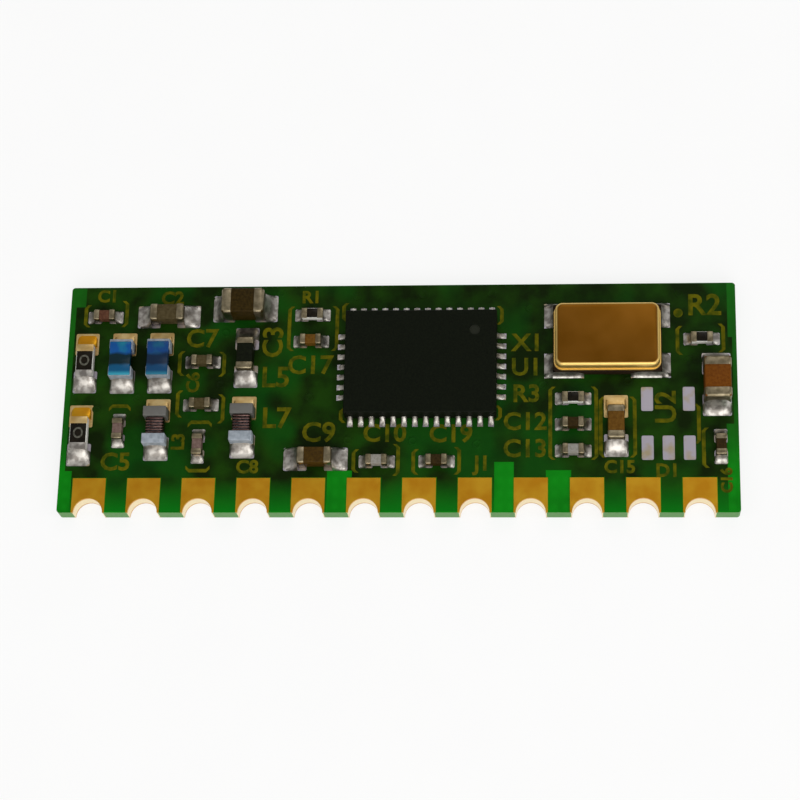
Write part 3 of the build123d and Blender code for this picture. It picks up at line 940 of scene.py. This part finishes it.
# %% [markdown]
# Makers mark a jumper with a nought. It is stamped here as a plain ring, a little narrower
# than high: a circle is inset, the face inside is deleted and the ring is raised.

# %% The noughts on the jumpers
RING, RING_STROKE, RING_RISE = 0.27, 0.09, 0.006
RING_SHAPE = (0.86, 1, 1)
start(bpy.ops.mesh.primitive_circle_add, vertices=32, radius=RING, fill_type="NGON")
bpy.ops.mesh.inset(thickness=RING_STROKE, depth=0)
bpy.ops.mesh.delete(type="FACE")
select_whole()
pull_out((0, 0, 2 * RING_RISE))
# Stamped ink, so thin that the black glaze dims it.
mark_tones = (0.12, "#3C3B32", "#66655A", 0.3, 0.7)
mark_ink = two_tone_material(
    "grey_marking_ink", mark_tones, (0.05, 0.001), Roughness=0.5, Specular_IOR_Level=0.1
)
ring = wear(leave_closed(30), mark_ink)
glaze_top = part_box("resistor_glaze")[1].z / MM
ring_level = glaze_top - RING_RISE
noughts = [copy_to(ring, p["x"], p["y"], ring_level, size=RING_SHAPE) for p in jumpers]
settle(join(noughts), "jumper_marks", "glaze")
discard(ring)

# %% [markdown]
# A wound inductor is a tiny ceramic bobbin with a square flange at each end, a coil of
# lacquered copper round its waist and metal feet. The bobbin starts as the waist: its two
# end faces are extruded in place, widened to the flange's outline and extruded outwards.

# %% One bobbin
wound = parts_read["inductor_03"]
WAIST_INSET = 0.22
FLANGE, FLANGE_BREAK = 0.48, 0.045
half_length = wound["length"] / 2
half_width = wound["width"] / 2
waist_half = half_length - FLANGE
waist_width = wound["width"] - 2 * WAIST_INSET
waist_low, waist_high = WAIST_INSET, wound["height"] - WAIST_INSET
add_block((-waist_half, -waist_width / 2, waist_low), (waist_half, waist_width / 2, waist_high))
for side in (-1, 1):
    pick("FACE", lambda m, n: n.x * side > 0.9 and m.x * side > waist_half - NEAR)
    pull_out((0, 0, 0))
    grow = (1, wound["width"] / waist_width, (wound["height"] - SKIN) / (waist_high - waist_low))
    bpy.ops.transform.resize(value=grow)
    bpy.ops.transform.translate(value=(0, 0, SKIN / 2))
    pull_out((side * FLANGE, 0, 0))


def is_flange_edge(m, r):
    beside = abs(m.y) > waist_width / 2 + NEAR or not waist_low < m.z < waist_high
    straight = any(is_along(r, axis) for axis in range(3))
    return abs(m.x) > waist_half - HAIR and beside and straight


round_edges(FLANGE_BREAK, 3, is_flange_edge)
bobbin = leave_edit(40)
print("the bobbin's waist is", round(waist_width, 2), "mm wide")

# %% [markdown]
# One turn of wire starts as a torus. Its quarters are moved apart, which makes the straight
# runs along the waist's sides, and the turn is then repeated along the waist.

# %% One coil
WIRE, WIRE_BEND = 0.12, 0.1
TURNS, COIL_PLAY = 6, 0.02
wire_radii = {"major_radius": WIRE_BEND, "minor_radius": WIRE / 2}
wire_segments = {"major_segments": 24, "minor_segments": 8}
quarter = (0, math.pi / 2, 0)
start(bpy.ops.mesh.primitive_torus_add, rotation=quarter, **wire_radii, **wire_segments)
reach_y = waist_width / 2 + WIRE / 2 - WIRE_BEND
reach_z = (waist_high - waist_low) / 2 + WIRE / 2 - WIRE_BEND
for axis, reach in ((1, reach_y), (2, reach_z)):
    for side in (-1, 1):
        pick("VERT", lambda p: p[axis] * side > HAIR)
        bpy.ops.transform.translate(value=[side * reach if i == axis else 0 for i in range(3)])
turn_of_wire = leave_edit(60)
turn_pitch = (2 * waist_half - WIRE - COIL_PLAY) / (TURNS - 1)
waist_level = (waist_low + waist_high) / 2
stops = [(i - (TURNS - 1) / 2) * turn_pitch for i in range(TURNS)]
coil = join([copy_to(turn_of_wire, stop, 0, waist_level) for stop in stops])
discard(turn_of_wire)
print("a coil of", TURNS, "turns has", len(coil.data.polygons), "faces")

# %% [markdown]
# Two of the four bobbins are open at the top: their flanges are bare pale ceramic and the
# copper shows between them. The feet are caps of plated metal, a hair wider than the
# flange that stands in them.

# %% The bobbins, their coils and feet
FOOT_PROUD, FOOT_HEIGHT, FOOT_BREAK = 0.012, 0.3, 0.035
add_block(
    (waist_half + FOOT_PROUD, -half_width - FOOT_PROUD, 0),
    (half_length + FOOT_PROUD, half_width + FOOT_PROUD, FOOT_HEIGHT),
)
round_edges(FOOT_BREAK, 3)
foot = wear(leave_edit(40), caps_metal)

porcelain, porcelain_places = new_material("bobbin_ceramic")
# Dense pressed alumina: matt and off-white, greyer on the open bobbins' back flanges.
pale = two_tones(porcelain, porcelain_places, 0.2, "#828A92", "#9CA4AC")
along = add_node(porcelain, "SeparateXYZ", {0: porcelain_places}).outputs["Y"]
open_back = (parts_read["inductor_04"]["y"] + half_length - FLANGE / 2) * MM
from_back = add_node(porcelain, "Math", {0: along, 1: open_back}, operation="SUBTRACT").outputs[0]
off_back = add_node(porcelain, "Math", {0: from_back}, operation="ABSOLUTE").outputs[0]
ceramic_grey = blend(porcelain, off_back, (0.4, 0.6), pale, "#545048", (0.9, 0.0))
pressed = fine_grain(porcelain, porcelain_places, 0.05, 0.002)
close_material(porcelain, {"Base Color": ceramic_grey, "Roughness": 0.5, "Normal": pressed})
# Drawn copper under clear lacquer: a dull purple-brown with a wet shine.
copper_tones = (0.15, "#3C2622", "#664840")
copper = two_tone_material(
    "lacquered_copper_wire", copper_tones, (0.08, 0.001),
    Metallic=1, Roughness=0.3, Coat_Weight=0.6, Coat_Roughness=0.1,
)

coils = []
feet = []
for name in ("inductor_01", "inductor_02", "inductor_03", "inductor_04"):
    part = parts_read[name]
    place = (part["x"], part["y"], LAND_TOP)
    body = wear(copy_to(bobbin, *place, part["turn"]), porcelain)
    settle(body, name + "_bobbin", "core_ceramic", name)
    coils.append(wear(copy_to(coil, *place, part["turn"]), copper))
    feet += [copy_to(foot, *place, part["turn"] + end) for end in (0, 180)]
settle(join(coils), "copper_windings", "copper_wire", "inductor_coils")
settle(join(feet), "bobbin_feet", "terminal", "inductor_terminals")
discard(bobbin, coil, foot)

# %% [markdown]
# The other two bobbins carry a coat of blue resin, poured so that a pick-up nozzle can hold
# them. It stops short of the flange's rim at the sides, and more at the back. A thin block
# is cut across with bisect. Its middle stations are lowered on top by the sag of the pour,
# and underneath down to the coil.

# %% The shape of the resin coats
COAT, COAT_SAG, COAT_BREAK = 0.12, 0.07, 0.04
BARE_BACK, BARE_FRONT, BARE_SIDE = 0.16, 0.0, 0.04
coat_base = wound["height"]
add_block(
    (BARE_FRONT - half_length, BARE_SIDE - half_width, coat_base),
    (half_length - BARE_BACK, half_width - BARE_SIDE, coat_base + COAT),
)
stations = [waist_half * share for share in (-1, -0.75, -0.4, 0, 0.4, 0.75, 1)]
for x in stations:
    select_whole()
    bpy.ops.mesh.bisect(plane_co=(x, 0, 0), plane_no=(1, 0, 0))
for x in stations[1:-1]:
    pick("VERT", lambda p: abs(p.x - x) < HAIR and p.z > coat_base + COAT / 2)
    bpy.ops.transform.translate(value=(0, 0, -COAT_SAG * (1 - (x / waist_half) ** 2)))
    pick("VERT", lambda p: abs(p.x - x) < HAIR and p.z < coat_base + HAIR)
    bpy.ops.transform.translate(value=(0, 0, waist_high + WIRE / 2 - coat_base))


def is_coat_rim(m, r):
    upper = m.z > coat_base + NEAR and not is_along(r, 1)
    at_side = upper and abs(m.y) > half_width - BARE_SIDE - HAIR
    at_back = m.x > half_length - BARE_BACK - HAIR
    return at_side or at_back or m.x < BARE_FRONT - half_length + HAIR


round_edges(COAT_BREAK, 3, is_coat_rim)
coat = leave_edit(40)
print("the coat sags by", COAT_SAG, "mm")

# %% [markdown]
# The resin is bright where it lies on the pale flanges and almost black where it sank
# between them onto the copper. Both coats are paler at the front rim, and one of the two
# took more pigment. All of that is painted by the distance from the parts' middle.

# %% The resin
resin, resin_places = new_material("blue_epoxy_resin")
# Poured tinted epoxy: glossy, clear enough that what is under it sets its tone.
resin_axes = add_node(resin, "SeparateXYZ", {0: resin_places}).outputs
coat_middle = {0: resin_axes["Y"], 1: parts_read["inductor_01"]["y"] * MM}
from_middle = add_node(resin, "Math", coat_middle, operation="SUBTRACT").outputs[0]
blots = {"Vector": resin_places, "Scale": per_metre(0.5), "Detail": 1}
blot = add_node(resin, "TexNoise", blots).outputs[0]
wander = {0: blot, 1: 0.25 * MM, 2: from_middle}
uneven = add_node(resin, "Math", wander, operation="MULTIPLY_ADD").outputs[0]
teal_blots = two_tones(resin, resin_places, 0.7, "#0A4888", "#166E86", 0.42, 0.66)
front_flange = blend(resin, from_middle, (-0.88, -0.7), "#3492A8", "#0A4E74")
sunk = blend(resin, uneven, (-0.36, -0.2), front_flange, "#04222A")
both_flanges = blend(resin, uneven, (0.2, 0.36), sunk, teal_blots)
between_coats = (parts_read["inductor_01"]["x"] + parts_read["inductor_02"]["x"]) / 2
to_second = (between_coats, between_coats + 0.1)
resin_blue = blend(resin, resin_axes["X"], to_second, both_flanges, "#16264E", (0.0, 0.45))
resin_wave = fine_grain(resin, resin_places, 0.5, 0.006)
close_material(resin, {
    "Base Color": resin_blue, "Roughness": 0.25, "Specular IOR Level": 0.2, "Normal": resin_wave,
})
coated = [parts_read[name] for name in ("inductor_01", "inductor_02")]
coats = [wear(copy_to(coat, p["x"], p["y"], LAND_TOP, p["turn"]), resin) for p in coated]
settle(join(coats), "resin_coats", "blue_resin", "inductor_coats")
discard(coat)

# %% [markdown]
# The crystal's lid was drawn from thin sheet, so its corners are wide arcs and its shoulder
# is round. A cube gets the corner arcs first, then the shoulder, and its underside is inset
# by the sheet's thickness and pushed up, which leaves a real shell. A band round the foot
# of its outer wall is pushed out for the lip.

# %% The crystal's lid
lid_low, lid_high = box_mm("crystal_can")
LID_CORNER, LID_SHOULDER, LID_SHEET = 0.36, 0.2, 0.08
LID_LIP, LIP_WIDTH = 0.1, 0.05
INNER_DRAFT = (0.95, 0.93, 1)
inner_top = lid_high.z - LID_SHEET
add_block(lid_low, lid_high)
round_edges(LID_CORNER, 8, is_upright)
round_edges(LID_SHOULDER, 6, lambda m, r: m.z > lid_high.z - HAIR)
pick("FACE", lambda m, n: n.z < -0.9)
bpy.ops.mesh.inset(thickness=LID_SHEET, depth=0)
pull_out((0, 0, inner_top - lid_low.z))
pick("VERT", lambda p: abs(p.z - inner_top) < HAIR)
bpy.ops.transform.resize(value=INNER_DRAFT)
select_whole()
bpy.ops.mesh.bisect(plane_co=(0, 0, lid_low.z + LID_LIP), plane_no=(0, 0, 1))
middle = (lid_low + lid_high) / 2
wall_reach = (lid_high - lid_low) / 2 - Vector((LID_SHEET, LID_SHEET, 0)) / 2


def is_lip(m, n):
    x, y = m.x - middle.x, m.y - middle.y
    outside = abs(x) > wall_reach.x - LID_CORNER or abs(y) > wall_reach.y - LID_CORNER
    outwards = n.x * x + n.y * y > 0.1
    return m.z < lid_low.z + LID_LIP and abs(n.z) < 0.1 and outside and outwards


pick("FACE", is_lip)
fatten = {"value": LIP_WIDTH, "use_even_offset": True}
bpy.ops.mesh.extrude_region_shrink_fatten(TRANSFORM_OT_shrink_fatten=fatten)
lid = leave_edit(40)

brass, brass_places = new_material("gold_plated_lid")
# Drawn alloy sheet with plating: brownish gold, matt on top; the paler gold below the top
# is a painted highlight on the shoulder and walls.
flat_gold = two_tones(brass, brass_places, 1.6, "#784C11", "#84561A")
lid_level = add_node(brass, "SeparateXYZ", {0: brass_places}).outputs["Z"]
RIM_FROM, RIM_TO = (lid_high.z - 0.05) * MM, (lid_high.z - 0.008) * MM
is_top = add_node(brass, "MapRange", {"Value": lid_level, 1: RIM_FROM, 2: RIM_TO}).outputs[0]
# Below the top face the gold goes over to a pale cream gold: a painted highlight.
rim_highlight_tones = {0: is_top, 6: "#F0CE7C", 7: flat_gold}
gold_with_rim_highlight = add_node(brass, "Mix", rim_highlight_tones, data_type="RGBA").outputs[2]
scuffed = add_node(brass, "MapRange", {"Value": is_top, 3: 0.48, 4: 0.35}).outputs[0]
drawn = fine_grain(brass, brass_places, 0.05, 0.001)
close_material(brass, {
    "Base Color": gold_with_rim_highlight, "Metallic": 1.0, "Roughness": scuffed, "Normal": drawn,
})
settle(wear(lid, brass), "crystal_lid", "crystal_can", "crystal_can")

# %% [markdown]
# Under the lid is a dark ceramic base whose corners were scored and broken, so they are only
# slightly rounded. Inside, where nobody looks, a quartz plate rests on two spots of cement,
# and both keep their solids.

# %% The crystal's base and inside
BASE_CORNER, BASE_BREAK = 0.2, 0.03
base_low, base_high = box_mm("crystal_base")
add_block(base_low, base_high)
round_edges(BASE_CORNER, 4, is_upright)
round_edges(BASE_BREAK, 2, lambda m, r: m.z > base_high.z - HAIR)
base_ceramic = fired_ceramic("dark_package_ceramic", "#1C140C", "#2C2016")
settle(wear(leave_edit(40), base_ceramic), "crystal_package", "dark_ceramic", "crystal_base")
# A ground quartz blank: clear, faintly grey, silky from the grinding.
quartz_tones = (0.4, "#B8C0C4", "#D4DADC")
quartz = two_tone_material("ground_quartz", quartz_tones, (0.03, 0.001), Roughness=0.2)
# Silver-filled cement: grey and grainy.
cement_tones = (0.1, "#8E8C86", "#AEACA6")
cement = two_tone_material(
    "silver_cement", cement_tones, (0.06, 0.004), Metallic=1, Roughness=0.6
)
wear(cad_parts["crystal_plate"], quartz)
wear(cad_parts["crystal_supports"], cement)
print("the base is", round(base_high.x - base_low.x, 2), "mm long")

# %% [markdown]
# The chip is moulded in black epoxy that is filled with glass sand, so its face is dull and
# very finely grained. The frame's solid already has its broken edges and the dimple that
# marks contact one, so it only needs the material. A dimple is left by a polished pin in
# the mould, so it is shinier than the face; its lighter grey colour is a painted sheen.

# %% The chip's moulding
DIMPLE_INSET, DIMPLE_RADIUS = 1.0, 0.22
moulding, moulding_places = new_material("filled_moulding_epoxy")
# Transfer-moulded epoxy with silica: charcoal, dull, with a fine eroded grain.
charcoal = two_tones(moulding, moulding_places, 0.07, "#080C05", "#10140A", 0.35, 0.65, 3)
dimple_at = Vector((chip_high.x - DIMPLE_INSET, chip_high.y - DIMPLE_INSET, chip_high.z)) * MM
from_dimple = {0: moulding_places, 1: dimple_at}
away = add_node(moulding, "VectorMath", from_dimple, operation="DISTANCE").outputs["Value"]
pin = (DIMPLE_RADIUS, DIMPLE_RADIUS + 0.03)
dull = {"Value": away, 1: pin[0] * MM, 2: pin[1] * MM, 3: 0.3, 4: 0.55}
dullness = add_node(moulding, "MapRange", dull).outputs[0]
# Inside the dimple the charcoal goes over to a lighter grey: a painted sheen.
charcoal_and_dimple_sheen = blend(moulding, away, pin, charcoal, "#2A2C24", (0.7, 0.0))
sand = fine_grain(moulding, moulding_places, 0.045, 0.003)
close_material(moulding, {
    "Base Color": charcoal_and_dimple_sheen, "Roughness": dullness, "Specular IOR Level": 0.06, "Normal": sand,
})
wear(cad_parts["chip_body"], moulding)
print("the dimple is", 2 * DIMPLE_RADIUS, "mm wide")

# %% [markdown]
# The print on a board is ink pushed through a screen: it stands a hundredth of a millimetre
# proud and its colour dims where it is thin. Brackets mark where parts go and short codes
# number them. The numbers here are this module's own. A bracket starts as a thin upright
# bar whose two ends are extruded slantwise.

# %% Ways to print
INK_TOP = POUR_TOP + 0.008
INK_WIDTH = 0.17
LETTER_GAIN = 0.03
CAPITAL_SHARE = 0.72
SPOT_RIM = 0.006
# Olive-yellow epoxy ink over green mask: matt, patchy where the screen left it thin.
ink_tones = (0.35, "#364003", "#5E5A05", 0.32, 0.62)
ink = two_tone_material(
    "screen_printed_ink", ink_tones, (0.06, 0.003), Roughness=0.6, Specular_IOR_Level=0.05
)


def add_bracket(x, y, half, turn=0, lip=0.16):
    """A bracket that opens to +X, with its straight part of twice the half height."""
    add_block((-INK_WIDTH / 2, -half, BOARD_TOP), (INK_WIDTH / 2, half, INK_TOP))
    for side in (-1, 1):
        pick("FACE", lambda m, n: n.y * side > 0.9)
        pull_out((lip, side * lip, 0))
    return shift(leave_edit(), *on_board(x, y), turn=turn)


def add_code(words, x, y, height, turn=0):
    """Flat printed letters of a height, as a mesh, a little fatter than their outline."""
    clear_selection()
    bpy.ops.object.text_add(location=(0, 0, 0))
    letters = bpy.context.object.data
    letters.body = words
    letters.align_x = "CENTER"
    letters.align_y = "CENTER"
    letters.size = height / CAPITAL_SHARE
    letters.offset = LETTER_GAIN
    letters.extrude = (INK_TOP - BOARD_TOP) / 2
    letters.resolution_u = 3
    bpy.ops.object.convert(target="MESH")
    bpy.ops.object.mode_set(mode="EDIT")
    select_whole()
    bpy.ops.mesh.remove_doubles(threshold=MERGE)
    return shift(leave_edit(), *on_board(x, y), (INK_TOP + BOARD_TOP) / 2, turn)


def add_spot(x, y, radius):
    """A printed spot with a softly rounded rim."""
    thick = INK_TOP - BOARD_TOP
    start(bpy.ops.mesh.primitive_cylinder_add, vertices=24, radius=radius, depth=thick)
    round_edges(SPOT_RIM, 2, lambda m, r: m.z > HAIR)
    return shift(leave_edit(40), *on_board(x, y), (INK_TOP + BOARD_TOP) / 2)


print("the ink stands", round(INK_TOP - POUR_TOP, 3), "mm proud")

# %% [markdown]
# The lists say where the marks go, in millimetres from the board's left front corner: for a
# bracket its place, half height and turn, and for a code its place, letter height and turn.

# %% The printed marks
brackets = [
    (0.75, 9.65, 0.4, 0), (2.7, 9.75, 0.5, 180), (5.35, 7.25, 0.45, 0), (7.45, 7.2, 0.45, 180),
    (10.45, 8.95, 0.95, 0), (12.7, 8.95, 0.95, 180), (5.35, 5.25, 0.5, 0), (7.5, 5.0, 0.55, 180),
    (2.65, 5.15, 0.35, -90), (6.45, 4.35, 0.4, -90), (6.45, 2.0, 0.4, 90), (13.65, 2.45, 0.4, 0),
    (15.7, 2.5, 0.6, 180), (16.4, 2.4, 0.45, 0), (18.5, 2.45, 0.5, 180), (22.65, 4.25, 1.6, 0),
    (24.75, 4.25, 1.6, 180), (26.5, 4.05, 1.3, 180), (24.95, 4.05, 1.3, 0), (29.4, 4.2, 0.8, 180),
    (28.5, 8.25, 0.55, 0), (30.6, 8.35, 0.55, 180), (29.6, 3.05, 0.8, 0), (13.0, 9.75, 0.3, 0),
    (20.4, 9.55, 0.3, 180), (13.0, 4.65, 0.2, 0), (20.35, 4.75, 0.2, 180),
]
codes = [
    ("C1", 1.75, 10.62, 0.6, 0), ("C2", 4.85, 10.5, 0.65, 0), ("C7", 6.35, 8.45, 0.9, 0),
    ("C6", 6.05, 6.3, 0.6, 90), ("R1", 11.45, 10.5, 0.6, 0), ("C17", 11.5, 7.1, 0.9, 0),
    ("C3", 9.75, 8.3, 0.95, 90), ("L5", 9.9, 6.5, 1.0, 0), ("L7", 10.0, 4.5, 1.0, 0),
    ("C5", 2.6, 2.4, 0.85, 0), ("L3", 5.5, 3.4, 0.6, 90), ("C8", 8.75, 2.15, 0.62, 0),
    ("C9", 12.0, 3.8, 0.95, 0), ("C10", 15.05, 3.75, 0.85, 0), ("C19", 18.1, 3.72, 0.85, 0),
    ("J1", 19.55, 2.3, 0.7, 0), ("X1", 21.6, 8.15, 0.85, 0), ("U1", 21.55, 6.95, 0.85, 0),
    ("R3", 21.55, 5.65, 0.85, 0), ("C12", 21.5, 4.3, 0.85, 0), ("C13", 21.5, 3.0, 0.85, 0),
    ("C15", 25.8, 2.12, 0.6, 0), ("U2", 27.95, 5.0, 0.95, 90), ("D1", 27.95, 1.95, 0.62, 0),
    ("R2", 29.75, 9.95, 1.05, 0), ("C16", 30.62, 1.5, 0.5, 90),
]
marks = [add_bracket(*bracket) for bracket in brackets]
marks += [add_code(*code) for code in codes]
marks.append(add_spot(28.55, 9.6, 0.22))
settle(wear(join(marks), ink), "printed_marks", "solder_mask")
